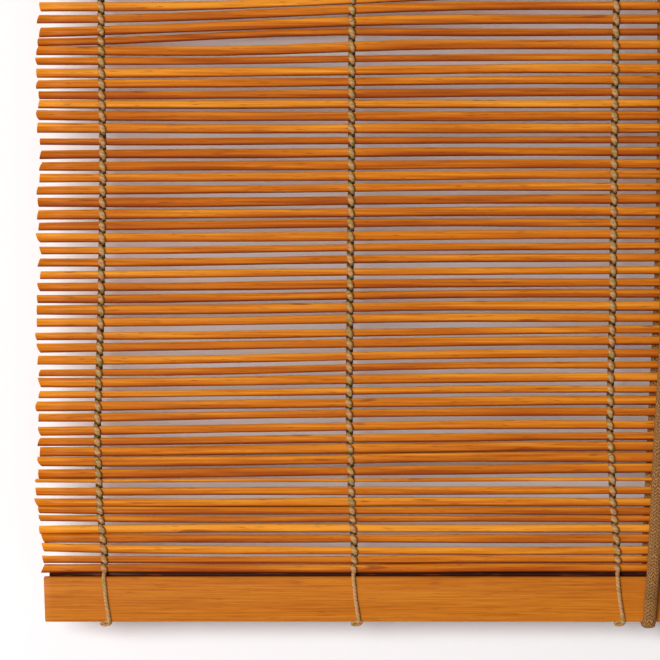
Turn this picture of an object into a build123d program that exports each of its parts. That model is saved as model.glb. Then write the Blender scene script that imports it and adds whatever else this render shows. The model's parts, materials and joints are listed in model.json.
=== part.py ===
from build123d import *
import math
import os

# A matchstick bamboo roll-up blind, let down. Sizes are in millimetres.
# X runs along the slats, -Y is the room side and +Z is up. The origin lies on the head rail's
# back face, midway between its two wall-screw holes.

# Overall sizes
blind_width = 900.0  # length of the slats and of the rails
roll_drop = 1010.0  # the part of the mat that rolls up, without the bottom rail

# Mat
slat_height = 2.8
slat_depth = 2.4
slat_chamfer = 0.6
slat_pitch = 4.8
slat_end_spread = 1.0  # how far the cut ends of the slats vary
valance_slats = 21  # slats above the roll, which stay hanging

# How the mat rolls: flat bands of slats, each turned by roll_turn from the band above
roll_bands = 23
roll_turn = 60.0
layer_step = 6.5  # from one turn of the roll to the next

# Rails
rail_height = 18.4
rail_depth = 6.0
rail_edge = 1.0  # rounding along the battens
rail_gap = 1.3  # between a batten and the slat next to it
head_height = 28.0
head_depth = 20.0
head_edge = 2.0
wall_hole_r = 2.2
wall_hole_x = 375.0  # from the middle to each wall screw

# Warp twine: a strand in front of the slats and one behind, at each of these places
warp_x = (-425.2, -322.0, -218.8, -109.4, 0.0, 109.4, 218.8, 322.0, 425.2)
strand_width = 1.2
strand_depth = 1.0
strand_gap = 0.05
knot_size = 3.0

# Lift cords
cord_r = 1.5
cord_gap = 0.2  # between a cord and what it runs beside
joint_gap = 0.05  # between the stretches of one cord, and between a cord and its wheel
lift_places = (-199.0, 187.0)  # the two lift cords, clear of the warp lines
anchor_back = 5.0  # how far behind the batten's back face the cord is tied
link_length = 38.0  # cord below the pulley that leans out when the blind is up

# Pulleys
groove_r = 7.0
flange_r = 10.4
flange_rim = 0.8  # width of each flange at its outer edge
wheel_width = 7.0
wheel_pitch = 8.0  # between the two wheels of the double pulley
side_play = 0.5
bridge_play = 1.4  # between the wheels and the sheet over them
pin_r = 1.5
pin_play = 0.05
pin_head_r = 2.6
pin_head = 1.0
sheet = 1.2  # thickness of the brackets' sheet metal
bracket_width = 16.0
bracket_below = 6.5  # the bracket's plates reach this far below the pin
foot_width = 36.0
foot_height = 13.0
foot_screw_x = 13.5
corner_r = 4.0  # rounding of the front plates' lower corners

# Cord lock
lock_over = 9.0  # how far past the slats' ends the pull cords hang
lock_length = 42.0
lock_below = 9.5
cam_x = 19.0  # from the guide roller back to the cam
cam_r = 6.4
cam_flat = 4.2
cam_width = 12.4
cam_teeth = 9
cam_tooth = 0.8  # width and depth of the notches between teeth
roller_width = 12.8
roller_r = 8.9
roller_rim = 1.2
roller_crest = 1.0  # height of the ridge between the roller's two grooves
lock_foot_height = 16.0

# Screws
screw_r = 1.1
screw_head_r = 2.3
screw_head = 1.1
screw_length = 9.0
screw_play = 0.05
bite = 0.1  # how far a head and its shank run into each other

# Pull
pull_length = 300.0  # from the lock to the tassel's top
pull_join = 60.0  # the two cords close up over this length above the tassel
tassel_r = 11.0
tassel_length = 42.0
tassel_bore = 3.6
eye_r = 3.2
eye_wire = 0.9
eye_shank = 9.0
knot_r = 2.6  # the lift cord's knot under its eye

# ---- places worked out from the sizes above ----
batten_face = -head_depth - rail_depth  # room-side face of the top batten
mat_y = -head_depth - rail_depth / 2
mat_top = -rail_height / 2 - rail_gap
hinge_z = mat_top - valance_slats * slat_pitch  # top of the part that rolls
band_share = 2 * math.tan(math.radians(roll_turn / 2))
turns_per_band = roll_turn / 360
roll_inset = layer_step * turns_per_band * roll_bands * (roll_bands - 1) / 2
roll_r = (roll_drop / band_share + roll_inset) / roll_bands
band_lengths = [band_share * (roll_r - layer_step * turns_per_band * k) for k in range(roll_bands)]
band_tops = [hinge_z - sum(band_lengths[:k]) for k in range(roll_bands + 1)]
rail_top = band_tops[-1] - rail_gap
rail_bottom = rail_top - rail_height

cord_out = rail_depth / 2 + cord_gap + cord_r  # cord's middle from the mat's middle
wheel_y = batten_face - sheet - side_play - wheel_width / 2
outer_y = wheel_y - wheel_pitch
pulley_r = groove_r + cord_r + joint_gap
bridge_z = flange_r + bridge_play
pull_x = blind_width / 2 + lock_over
wheel_places = [x + pulley_r for x in lift_places]
pull_y = wheel_y - wheel_pitch / 2  # midway between the two pull cords
roller_x = pull_x - pulley_r
lock_left = pull_x + cord_r + 1 - lock_length
cam_pin_x = roller_x - cam_x
anchor_y = -head_depth + anchor_back
knot_z = -head_height / 2 - 2 * eye_r - cord_gap - knot_r
rail_middle = rail_bottom + rail_height / 2
link_end = -link_length


def solid_along_x(profile, x_low, x_high):
    """A prism: points in Y and Z, carried from x_low to x_high."""
    face = make_face(Polyline([(x_low, y, z) for y, z in profile], close=True))
    return extrude(face, amount=x_high - x_low, dir=(1, 0, 0))


def rounded_bar(length, depth, height, edge):
    """A bar along X with rounded long edges."""
    bar = Box(length, depth, height)
    return fillet(bar.edges().filter_by(Axis.X), edge)


def turned(profile):
    """A solid of revolution about Y: points of radius and distance along Y."""
    face = make_face(Polyline([(r, y, 0) for r, y in profile], close=True))
    return revolve(face, Axis.Y)


def rod_y(radius, y_low, y_high, x=0.0, z=0.0):
    rod = Rot(90, 0, 0) * Cylinder(radius, y_high - y_low)
    return Pos(x, (y_low + y_high) / 2, z) * rod


def box_between(low, high):
    size = [b - a for a, b in zip(low, high)]
    middle = [(a + b) / 2 for a, b in zip(low, high)]
    return Pos(*middle) * Box(*size)


# ---- mat ----
def slat_profile(y, z):
    a = slat_depth / 2
    b = slat_height / 2
    c = slat_chamfer
    corners = [(-a, c - b), (c - a, -b), (a - c, -b), (a, c - b)]
    corners += [(a, b - c), (a - c, b), (c - a, b), (-a, b - c)]
    return [(y + dy, z + dz) for dy, dz in corners]


def slat(number, z):
    """One slat, whose two cut ends come a little short of the full length."""
    left = slat_end_spread * (0.5 + 0.5 * math.sin(2.4 * number))
    right = slat_end_spread * (0.5 + 0.5 * math.sin(1.7 * number + 1))
    return solid_along_x(slat_profile(mat_y, z), left - blind_width / 2, blind_width / 2 - right)


def slat_band(top, length, first):
    """As many slats as fit the length at about the pitch, evenly spaced."""
    count = max(1, round(length / slat_pitch))
    step = length / count
    return [slat(first + i, top - (i + 0.5) * step) for i in range(count)]


def strand(x, side):
    """A warp strand down the slats. side is -1 in front, where it also crosses the top batten;
    behind, it ends under that batten, which lies on the head rail."""
    over_slats = slat_depth / 2 + strand_gap
    over_rail = rail_depth / 2 + strand_gap
    under_batten = [(over_slats, mat_top + rail_gap / 2)]
    over_batten = [
        (over_rail, rail_height / 2 - rail_edge),
        (over_rail, mat_top + rail_gap),
        (over_slats, mat_top - slat_pitch),
    ]
    line = (over_batten if side < 0 else under_batten) + [
        (over_slats, band_tops[-1] + slat_pitch),
        (over_rail, rail_top),
        (over_rail, rail_bottom + rail_edge),
    ]
    inner = [(mat_y + side * y, z) for y, z in line]
    outer = [(y + side * strand_depth, z) for y, z in inner]
    return solid_along_x(inner + outer[::-1], x - strand_width / 2, x + strand_width / 2)


def knots(z, side):
    """A knot on each warp line, just clear of a batten's edge."""
    middle = z + side * (knot_size / 2 + strand_gap)
    shape = Box(knot_size, knot_size, knot_size)
    shape = chamfer(shape.edges(), knot_size / 5)
    return [Pos(x, mat_y, middle) * shape for x in warp_x]


# ---- rails ----
def bottom_rail():
    return Pos(0, mat_y, (rail_top + rail_bottom) / 2) * rounded_bar(
        blind_width, rail_depth, rail_height, rail_edge
    )


def wall_holes(y_low, y_high):
    return [rod_y(wall_hole_r, y_low, y_high, x) for x in (-wall_hole_x, wall_hole_x)]


def foot_screws():
    """Middle of each small screw that holds a bracket on the top batten."""
    pulleys = [(x + dx, 0) for x in wheel_places for dx in (-foot_screw_x, foot_screw_x)]
    lock = [(lock_left + dx, 0) for dx in (-lock_foot_height / 3, -lock_foot_height)]
    return pulleys + lock


def top_batten():
    bar = Pos(0, mat_y, 0) * rounded_bar(blind_width, rail_depth, rail_height, rail_edge)
    for hole in wall_holes(batten_face - 1, -head_depth + 1):
        bar -= hole
    for x, z in foot_screws():
        bar -= rod_y(screw_r + screw_play, batten_face - 1, -head_depth + 1, x, z)
    return bar


def head_rail():
    bar = Pos(0, -head_depth / 2, 0) * rounded_bar(blind_width, head_depth, head_height, head_edge)
    for hole in wall_holes(-head_depth - 1, 1):
        bar -= hole
    deepest = batten_face - sheet + screw_length + screw_play
    for x, z in foot_screws():
        bar -= rod_y(screw_r + screw_play, -head_depth - 1, deepest, x, z)
    for x in lift_places:
        shank = Cylinder(eye_wire + screw_play, eye_shank + 1)
        bar -= Pos(x, anchor_y, -head_height / 2 + eye_shank / 2 - 0.5) * shank
    return bar


def screw(x, y, z):
    """A pan-head screw along Y whose head sits on the face at y."""
    shank = rod_y(screw_r, y - bite, y + screw_length, x, z)
    head = rod_y(screw_head_r, y - screw_head, y, x, z)
    head = fillet(head.edges().group_by(Axis.Y)[0], screw_head * 0.6)
    slot = Pos(x, y - screw_head, z) * Box(screw_head_r * 2.2, screw_head, screw_r * 0.45)
    return head + shank - slot


# ---- pulleys ----
def wheel():
    """A grooved wheel about Y, centred on its groove, with a bore for the pin."""
    half = wheel_width / 2
    bore = pin_r + pin_play
    floor = cord_r * 0.85
    return turned(
        [(bore, -half), (flange_r, -half), (flange_r, flange_rim - half), (groove_r, -floor)]
        + [(groove_r, floor), (flange_r, half - flange_rim), (flange_r, half), (bore, half)]
    )


def pin(x, front_y):
    """A headed pin along Y from the batten's face to in front of the bracket."""
    rod = rod_y(pin_r, front_y - bite, batten_face - bite, x)
    return rod + rod_y(pin_head_r, front_y - pin_head, front_y, x)


def front_of(wheels):
    """Y of a bracket's front face when it holds this many wheels."""
    return wheel_y - (wheels - 1) * wheel_pitch - wheel_width / 2 - side_play - sheet


def pulley_bracket(x, wheels):
    """A sheet-metal loop over the wheels, with a foot on the batten. It is open at both sides."""
    front = front_of(wheels)
    half = bracket_width / 2
    top = bridge_z + sheet
    back = box_between((x - half, batten_face - sheet, -bracket_below), (x + half, batten_face, top))
    foot = box_between(
        (x - foot_width / 2, batten_face - sheet, -foot_height / 2),
        (x + foot_width / 2, batten_face, foot_height / 2),
    )
    bridge = box_between((x - half, front, bridge_z), (x + half, batten_face, top))
    face = box_between((x - half, front, -bracket_below), (x + half, front + sheet, top))
    face = fillet(face.edges().filter_by(Axis.Y).group_by(Axis.Z)[0], corner_r)
    loop = back + foot + bridge + face
    loop -= rod_y(pin_r + pin_play, front - 1, batten_face + 1, x)
    for dx in (-foot_screw_x, foot_screw_x):
        loop -= rod_y(screw_r + screw_play, batten_face - sheet - 1, batten_face + 1, x + dx)
    return loop


# ---- cord lock ----
lock_front = front_of(2)


def lock_housing():
    """Two plates and a web over them. The foot lies on the batten and the rest stands a sheet's
    thickness off it, over the end warp line. The cords enter at the left and leave below."""
    right = lock_left + lock_length
    top = bridge_z + sheet
    foot_face = batten_face - sheet
    back = box_between((lock_left, foot_face - sheet, -lock_below), (right, foot_face, top))
    foot = box_between(
        (lock_left - lock_foot_height * 1.3, foot_face, -lock_foot_height / 2),
        (lock_left + sheet, batten_face, lock_foot_height / 2),
    )
    web = box_between((lock_left, lock_front, bridge_z), (right, foot_face, top))
    face = box_between((lock_left, lock_front, -lock_below), (right, lock_front + sheet, top))
    face = fillet(face.edges().filter_by(Axis.Y).group_by(Axis.Z)[0], corner_r)
    body = back + foot + web + face
    for x in (roller_x, cam_pin_x):
        body -= rod_y(pin_r + pin_play, lock_front - 1, batten_face + 1, x)
    for x, z in foot_screws()[-2:]:
        body -= rod_y(screw_r + screw_play, batten_face - sheet - 1, batten_face + 1, x, z)
    return body


def guide_roller():
    """A roller with a groove for each cord."""
    half = roller_width / 2
    bore = pin_r + pin_play
    crest = groove_r + roller_crest
    profile = [(bore, -half), (roller_r, -half), (groove_r, roller_rim - half)]
    profile += [(groove_r, -roller_rim), (crest, -roller_rim / 3), (crest, roller_rim / 3)]
    profile += [(groove_r, roller_rim), (groove_r, half - roller_rim), (roller_r, half), (bore, half)]
    return Pos(roller_x, pull_y, 0) * turned(profile)


def lock_cam():
    """A toothed cam under the cords, flat on the side that faces them at rest."""
    low = pull_y - cam_width / 2
    cam = rod_y(cam_r, low, low + cam_width)
    cam -= box_between((-cam_r, low - 1, cam_flat), (cam_r, low + cam_width + 1, cam_r + 1))
    for step in range(cam_teeth):
        turn = 180 * (1 + step / (cam_teeth - 1))
        notch = Pos(cam_r, pull_y, 0) * Box(cam_tooth, cam_width + 2, cam_tooth)
        cam -= Rot(0, -turn, 0) * notch
    cam -= rod_y(pin_r + pin_play, low - 1, low + cam_width + 1)
    return Pos(cam_pin_x, 0, 0) * cam


# ---- cords ----
def tube(points, radii):
    """A round cord along straight runs joined by arcs, one radius for each corner."""
    path = FilletPolyline(*points, radius=radii) if radii else Polyline(*points)
    start = path @ 0
    section = Plane(origin=start, z_dir=path % 0) * Circle(cord_r)
    return sweep(section, path=path)


def back_run(x):
    """Behind the mat, from the knot under the head rail down to the bottom rail."""
    low = (x, mat_y + cord_out, rail_middle + joint_gap)
    return tube([(x, anchor_y, knot_z - knot_r - joint_gap), low], None)


def front_run(x):
    """Before the mat, from the link under the pulley down to the bottom rail."""
    low = (x, mat_y - cord_out, rail_middle + joint_gap)
    return tube([(x, wheel_y, link_end - joint_gap), low], None)


def turn_half(x, way):
    """Half of the turn under the bottom rail. way is 1 behind the rail and -1 before it."""
    low = rail_bottom - cord_gap - cord_r
    out = mat_y + way * cord_out
    points = [(x, out, rail_middle), (x, out, low), (x, mat_y, low)]
    return tube(points, [rail_edge + cord_gap + cord_r])


def over_pulleys(x, y_end):
    """From the link under its pulley, over the wheels and the guide roller, to the pull."""
    points = [(x, wheel_y, link_end), (x, wheel_y, pulley_r)]
    radii = [pulley_r]
    if y_end != wheel_y:
        points.append((wheel_places[1], y_end, pulley_r))
        radii.append(blind_width)
    points += [(pull_x, y_end, pulley_r), (pull_x, y_end, -lock_below)]
    return tube(points, radii + [pulley_r])


def pull_cord(y):
    """Hangs from the lock; the two cords close up just above the tassel."""
    y_join = pull_y + math.copysign(cord_r + cord_gap / 4, y - pull_y)
    bottom = -lock_below - pull_length
    top = -lock_below - joint_gap
    points = [(pull_x, y, top), (pull_x, y, bottom + pull_join), (pull_x, y_join, bottom)]
    return tube(points, [pull_join * 3])


def tassel():
    """A turned wooden acorn under the cords, with a hole down its middle for their knot."""
    top = -lock_below - pull_length
    waist = tassel_r * 0.55
    steps = [(waist, 0), (waist, 0.12), (tassel_r, 0.45), (tassel_r, 0.7), (waist, 1)]
    outline = [(r, -share * tassel_length) for r, share in steps]
    outline = [(tassel_bore, 0)] + outline + [(tassel_bore, -tassel_length)]
    face = make_face(Polyline([(r, 0, z) for r, z in outline], close=True))
    body = revolve(face, Axis.Z)
    rims = body.edges().filter_by(GeomType.CIRCLE)
    body = fillet([e for e in rims if e.radius > waist * 1.2], tassel_r * 0.35)
    return Pos(pull_x, pull_y, top) * body


def pull_knot():
    """The two cords' knot, in the tassel's bore, on which the tassel hangs."""
    top = -lock_below - pull_length
    length = tassel_length * 0.3
    knot = Cylinder(tassel_bore - 2 * joint_gap, length)
    return Pos(pull_x, pull_y, top - cord_gap - length / 2) * knot


def anchor_eye(x):
    """A screw eye under the head rail, to which a lift cord is tied."""
    ring = Rot(0, 90, 0) * Torus(eye_r - eye_wire, eye_wire)
    shank = Cylinder(eye_wire, eye_shank)
    under = -head_height / 2
    ring_z = under - eye_r
    shank_z = under + eye_shank / 2 - eye_wire
    return Pos(x, anchor_y, ring_z) * ring + Pos(x, anchor_y, shank_z) * shank


def cord_knot(x):
    """The knot that ties a lift cord to its eye."""
    return Pos(x, anchor_y, knot_z) * Sphere(knot_r)


# ---- all nodes ----
def rolling_nodes():
    """The bands of slats that roll, from the top down."""
    made = {}
    number = valance_slats
    for k, length in enumerate(band_lengths):
        band = slat_band(band_tops[k], length, number)
        number += len(band)
        made[f"slats_{k + 1:02d}"] = band
    return made


def all_nodes():
    left_wheel, right_wheel = wheel_places
    left_cord, right_cord = lift_places
    nodes = {
        "head_rail": [head_rail()],
        "top_batten": [top_batten()],
        "valance_slats": slat_band(mat_top, mat_top - hinge_z, 0),
        "bottom_rail": [bottom_rail()],
        "warp_twine_front": [strand(x, -1) for x in warp_x],
        "warp_twine_back": [strand(x, 1) for x in warp_x],
        "warp_knots_top": knots(rail_height / 2, 1),
        "warp_knots_bottom": knots(rail_bottom, -1),
        "pulley_bracket_left": [pulley_bracket(left_wheel, 1)],
        "pulley_bracket_right": [pulley_bracket(right_wheel, 2)],
        "pulley_wheel_left": [Pos(left_wheel, wheel_y, 0) * wheel()],
        "pulley_wheel_right": [Pos(right_wheel, wheel_y, 0) * wheel()],
        "pulley_wheel_outer": [Pos(right_wheel, outer_y, 0) * wheel()],
        "pulley_pin_left": [pin(left_wheel, front_of(1))],
        "pulley_pin_right": [pin(right_wheel, front_of(2))],
        "lock_housing": [lock_housing()],
        "lock_guide_roller": [guide_roller()],
        "lock_cam": [lock_cam()],
        "lock_pins": [pin(roller_x, lock_front), pin(cam_pin_x, lock_front)],
        "bracket_screws": [screw(x, batten_face - sheet, z) for x, z in foot_screws()],
        "anchor_eyes": [anchor_eye(x) for x in lift_places],
        "lift_cord_knots": [cord_knot(x) for x in lift_places],
        "lift_cord_back_runs": [back_run(x) for x in lift_places],
        "lift_cord_front_runs": [front_run(x) for x in lift_places],
        "lift_cord_turns_back": [turn_half(x, 1) for x in lift_places],
        "lift_cord_turns_front": [turn_half(x, -1) for x in lift_places],
        "lift_cord_over_left": [over_pulleys(left_cord, outer_y)],
        "lift_cord_over_right": [over_pulleys(right_cord, wheel_y)],
        "pull_cord_left": [pull_cord(outer_y)],
        "pull_cord_right": [pull_cord(wheel_y)],
        "pull_knot": [pull_knot()],
        "tassel": [tassel()],
    }
    nodes.update(rolling_nodes())
    return nodes


def main():
    print("cord radius", cord_r, "warp strand", strand_width, "x", strand_depth)
    os.makedirs("parts", exist_ok=True)
    for name, solids in all_nodes().items():
        whole = solids[0] if len(solids) == 1 else Compound(children=list(solids))
        export_step(whole, f"parts/{name}.step")


main()
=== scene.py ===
import bpy
import json
import numpy as np
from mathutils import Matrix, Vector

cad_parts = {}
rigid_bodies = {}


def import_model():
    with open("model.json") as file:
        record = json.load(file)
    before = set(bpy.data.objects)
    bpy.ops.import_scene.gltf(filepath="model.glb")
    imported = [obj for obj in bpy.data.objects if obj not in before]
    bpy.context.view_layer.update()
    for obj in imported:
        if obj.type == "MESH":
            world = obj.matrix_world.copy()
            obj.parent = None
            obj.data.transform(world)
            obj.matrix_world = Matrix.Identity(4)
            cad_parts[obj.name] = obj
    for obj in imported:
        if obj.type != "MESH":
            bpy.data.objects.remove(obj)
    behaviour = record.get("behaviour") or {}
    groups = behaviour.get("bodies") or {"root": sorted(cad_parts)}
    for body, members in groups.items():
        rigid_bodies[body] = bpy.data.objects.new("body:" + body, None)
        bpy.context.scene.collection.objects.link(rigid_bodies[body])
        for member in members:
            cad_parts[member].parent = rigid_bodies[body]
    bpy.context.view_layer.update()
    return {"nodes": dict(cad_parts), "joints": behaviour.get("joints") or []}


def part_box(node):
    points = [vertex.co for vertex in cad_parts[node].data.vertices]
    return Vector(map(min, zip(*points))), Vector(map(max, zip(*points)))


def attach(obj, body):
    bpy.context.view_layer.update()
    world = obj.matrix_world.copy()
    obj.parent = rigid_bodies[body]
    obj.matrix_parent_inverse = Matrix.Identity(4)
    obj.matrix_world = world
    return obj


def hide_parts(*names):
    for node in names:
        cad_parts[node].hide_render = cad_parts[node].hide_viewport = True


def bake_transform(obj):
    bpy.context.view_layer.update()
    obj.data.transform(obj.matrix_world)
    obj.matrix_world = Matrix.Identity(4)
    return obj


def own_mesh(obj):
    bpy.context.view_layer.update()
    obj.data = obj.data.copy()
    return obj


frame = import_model()
mm = 0.001
draw = np.random.default_rng(41)  # every random size below comes from this one


def srgb(hexText):  # sRGB hex to linear RGBA
    raw = np.array([int(hexText[i:i + 2], 16) for i in (1, 3, 5)]) / 255
    linear = np.where(raw <= 0.04045, raw / 12.92, ((raw + 0.055) / 1.055) ** 2.4)
    return (*linear, 1.0)


def ease(t):  # 0 below 0, 1 above 1, and 3t^2 - 2t^3 between
    t = np.clip(t, 0, 1)
    return t * t * (3 - 2 * t)


def power(wave, sharpness):  # a sine or cosine made fuller or leaner, with its sign kept
    return np.sign(wave) * np.abs(wave) ** sharpness


# Rows of closed tubes as one mesh. rings[tube, step, side] are points in metres, joined by quads,
# with one flat face at each end. along[tube, step] is the distance down the tube in millimetres,
# which becomes U, and V goes once round. values holds one number a tube or a point.
def tubeRows(name, rings, along, values=None):
    count, steps, sides, _ = rings.shape
    tube, step, side = np.meshgrid(np.arange(count), np.arange(steps - 1), np.arange(sides), indexing="ij")
    corner = [(step, side), (step, side + 1), (step + 1, side + 1), (step + 1, side)]
    quads = np.stack([(tube * steps + s) * sides + k % sides for s, k in corner], -1).reshape(-1, 4)
    quadU = np.stack([along[tube, s] for s, _ in corner], -1).reshape(-1, 4)
    quadV = np.stack([k / sides for _, k in corner], -1).reshape(-1, 4)
    first = np.arange(count)[:, None] * steps * sides + np.arange(sides)[::-1]
    last = np.arange(count)[:, None] * steps * sides + (steps - 1) * sides + np.arange(sides)
    points = rings.reshape(-1, 3)
    volume = np.einsum("ij,ij->i", points[quads[:, 0]], np.cross(points[quads[:, 1]], points[quads[:, 2]])).sum()
    volume += np.einsum("ij,ij->i", points[quads[:, 0]], np.cross(points[quads[:, 2]], points[quads[:, 3]])).sum()
    if volume < 0:  # faces point outwards
        quads, quadU, quadV = quads[:, ::-1], quadU[:, ::-1], quadV[:, ::-1]
        first, last = first[:, ::-1], last[:, ::-1]
    corners = np.concatenate([quads.ravel(), first.ravel(), last.ravel()])
    starts = np.concatenate([np.arange(len(quads)) * 4, quads.size + np.arange(2 * count) * sides])
    capUv = np.zeros((2 * count * sides, 2))
    uv = np.concatenate([np.stack([quadU.ravel(), quadV.ravel()], -1), capUv])
    mesh = bpy.data.meshes.new(name)
    mesh.vertices.add(len(points))
    mesh.vertices.foreach_set("co", points.astype(np.float32).ravel())
    mesh.loops.add(len(corners))
    mesh.loops.foreach_set("vertex_index", corners.astype(np.int32))
    mesh.polygons.add(len(starts))
    mesh.polygons.foreach_set("loop_start", starts.astype(np.int32))
    mesh.polygons.foreach_set("use_smooth", np.arange(len(starts)) < len(quads))  # the end faces stay flat
    mesh.update(calc_edges=True)
    mesh.uv_layers.new(name="UVMap").data.foreach_set("uv", uv.astype(np.float32).ravel())
    for key, value in (values or {}).items():
        spread = np.broadcast_to(value, (count, steps, sides)).astype(np.float32)
        mesh.attributes.new(key, "FLOAT", "POINT").data.foreach_set("value", spread.ravel())
    piece = bpy.data.objects.new(name, mesh)
    bpy.context.scene.collection.objects.link(piece)
    return piece


# Rings round a path: at each point an oval of halfWidth along the wide direction and halfThick
# across it, both square to the path. sharpness under 1 makes the oval boxier.
def ringsAlong(path, wide, halfWidth, halfThick, sides, sharpness=1.0):
    tangent = np.gradient(path, axis=0)
    tangent /= np.linalg.norm(tangent, axis=1, keepdims=True)
    across = wide - np.sum(wide * tangent, axis=1, keepdims=True) * tangent
    across /= np.linalg.norm(across, axis=1, keepdims=True)
    thick = np.cross(tangent, across)
    turn = 2 * np.pi * np.arange(sides) / sides
    a = power(np.cos(turn), sharpness)[None, :, None] * np.broadcast_to(halfWidth, len(path))[:, None, None]
    b = power(np.sin(turn), sharpness)[None, :, None] * np.broadcast_to(halfThick, len(path))[:, None, None]
    return path[:, None] + a * across[:, None] + b * thick[:, None]


def pathLength(path):  # distance down a path, in millimetres
    return np.concatenate([[0], np.cumsum(np.linalg.norm(np.diff(path, axis=0), axis=1))]) / mm


def addNode(tree, kind, sockets=None, stops=None, **settings):  # a node with its settings and links
    node = tree.nodes.new(kind)
    for key, value in settings.items():
        setattr(node, key, value)
    for key, value in (sockets or {}).items():
        if isinstance(value, bpy.types.Node):  # a node stands for its first output
            value = value.outputs[0]
        if isinstance(value, bpy.types.NodeSocket):
            tree.links.new(value, node.inputs[key])
        else:
            node.inputs[key].default_value = value
    if stops:
        elements = node.color_ramp.elements
        while len(elements) < len(stops):
            elements.new(1.0)
        for element, (place, colour) in zip(elements, stops):
            element.position = place
            element.color = srgb(colour)
    return node


def newMaterial(name):
    material = bpy.data.materials.new(name)
    material.use_nodes = True
    material.node_tree.nodes.clear()
    return material, material.node_tree


def closeMaterial(tree, sockets):  # the surface shader and the output
    shader = addNode(tree, "ShaderNodeBsdfPrincipled", sockets)
    addNode(tree, "ShaderNodeOutputMaterial", {"Surface": shader})


# The camera stands square to the mat, at its lower left corner; sizes in millimetres.
cameraSizes = {"lens": 200.0, "sensor": 36.0, "aimX": -333.2, "aimZ": -1024.6, "frameWide": 264.0,
               "matFace": -25.0}


def makeCamera():
    c = cameraSizes
    data = bpy.data.cameras.new("camera")
    data.lens, data.sensor_width = c["lens"], c["sensor"]
    camera = bpy.data.objects.new("camera", data)
    away = c["frameWide"] * c["lens"] / c["sensor"]
    camera.location = (c["aimX"] * mm, (c["matFace"] - away) * mm, c["aimZ"] * mm)
    camera.rotation_euler = (np.pi / 2, 0, 0)
    data.clip_start, data.clip_end = 0.05, 50
    bpy.context.scene.collection.objects.link(camera)
    bpy.context.scene.camera = camera


makeCamera()
print("camera made")


def boxOf(node):  # the low and high corners of a node, in millimetres
    return [np.array(corner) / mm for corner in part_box(node)]


# places read from the frame, in millimetres
rolling = sorted([j for j in frame["joints"] if j["name"].startswith("roll_")], key=lambda j: -j["pos_m"][2])
hingeZ = np.array([j["pos_m"][2] for j in rolling]) / mm
hingeBodies = [(j["parent"], j["child"]) for j in rolling]
matY = rolling[0]["pos_m"][1] / mm
railLow, railHigh = boxOf("bottom_rail")
battenLow, battenHigh = boxOf("top_batten")
valanceTop = boxOf("valance_slats")[1][2]
midBands = (hingeZ[1:] + hingeZ[:-1]) / 2
cuts = np.concatenate([[battenHigh[2] + 10], midBands, [railLow[2] - 10]])  # piece k lies between cuts k and k + 1

slatSizes = {
    "height": 3.42,
    "depth": 2.5,
    "lastSlatAboveRail": 2.6,  # from the bottom rail's top to the middle of the last slat
    "sides": 10,
    "steps": 30,
    "heightSpread": 0.08,
    "placeSpread": 0.12,
    "wave": 0.2,
    "leanSpread": 0.28,  # how much the free ends stray up or down
    "leanOver": 45.0,  # how far in from the left end the lean fades
    "endSpread": 0.95,
    "endSlant": 0.22,
    "endPoint": 0.22,
    "lowestEnds": -1.8,  # the four slats next to the rail stop short of its left end
    "dropAt": (-360, -315),  # where the left drop ends, and over what length
    "dropOver": (170, 230),
    "toneSpread": 0.22,
    "rollSpread": 0.12,
    "evenFrom": 60,  # from this slat up the pitch is evened out to end under the top batten
}
# distance from a slat to the next one up, by its number counted from the rail
pitchAt = {0: 3.87, 6: 3.87, 7: 4.3, 12: 4.3, 13: 4.75, 45: 4.75, 46: 5.15, 52: 5.15, 56: 4.8}
# how much lower a slat lies at its left end, by height above the rail's foot
leftDrop = {0: 0, 46: 0.1, 56: 1.0, 61: 1.8, 70: 1.9, 76: 2.3, 92: 2.3, 108: 3.0, 120: 2.2, 160: 1.4, 185: 1.2,
            196: 0.3, 206: 0.3, 213: 1.4, 226: 2.0, 231: 2.4, 235.6: 4.1, 241: 5.7, 251: 5.3, 300: 3.0, 420: 0}
# slats that stand out: where the left drop ends and over what length, how thin, how far out the
# left end is, how far it leans up, and how far the slat lies from its even place
oddSlats = {
    48: {"dropAt": -375.0, "dropOver": 190.0, "shift": 0, "lean": 0},
    47: {"dropAt": -386.0, "dropOver": 125.0, "shift": 0, "lean": 0},
    46: {"dropAt": -335.0, "dropOver": 100.0, "shift": 0, "lean": 0},
    10: {"thin": 1.1, "shift": 0, "lean": -0.7},
    9: {"thin": 0.45, "shift": 0, "lean": 0.5, "end": -0.4, "point": 1.2, "slant": 0},
    8: {"thin": 0.96, "shift": -0.15, "lean": 0.3, "end": 0.9},
    7: {"thin": 1.03, "shift": -0.6, "lean": 0.1, "end": 0.8, "slant": -0.5},
    6: {"thin": 0.9, "shift": -0.25, "lean": 0.6, "end": -0.4},
    5: {"thin": 0.74, "shift": 0.35, "lean": 0.4, "end": -0.6},
    4: {"thin": 1.0, "shift": 0.5, "lean": -0.4},
    3: {"thin": 1.0, "shift": 0.35, "lean": -0.1},
    2: {"thin": 0.98, "shift": -0.7, "lean": 1.4},
    1: {"thin": 0.88, "shift": -0.4, "lean": 0},
    0: {"thin": 1.04, "shift": 0, "lean": 0},
}


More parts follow.
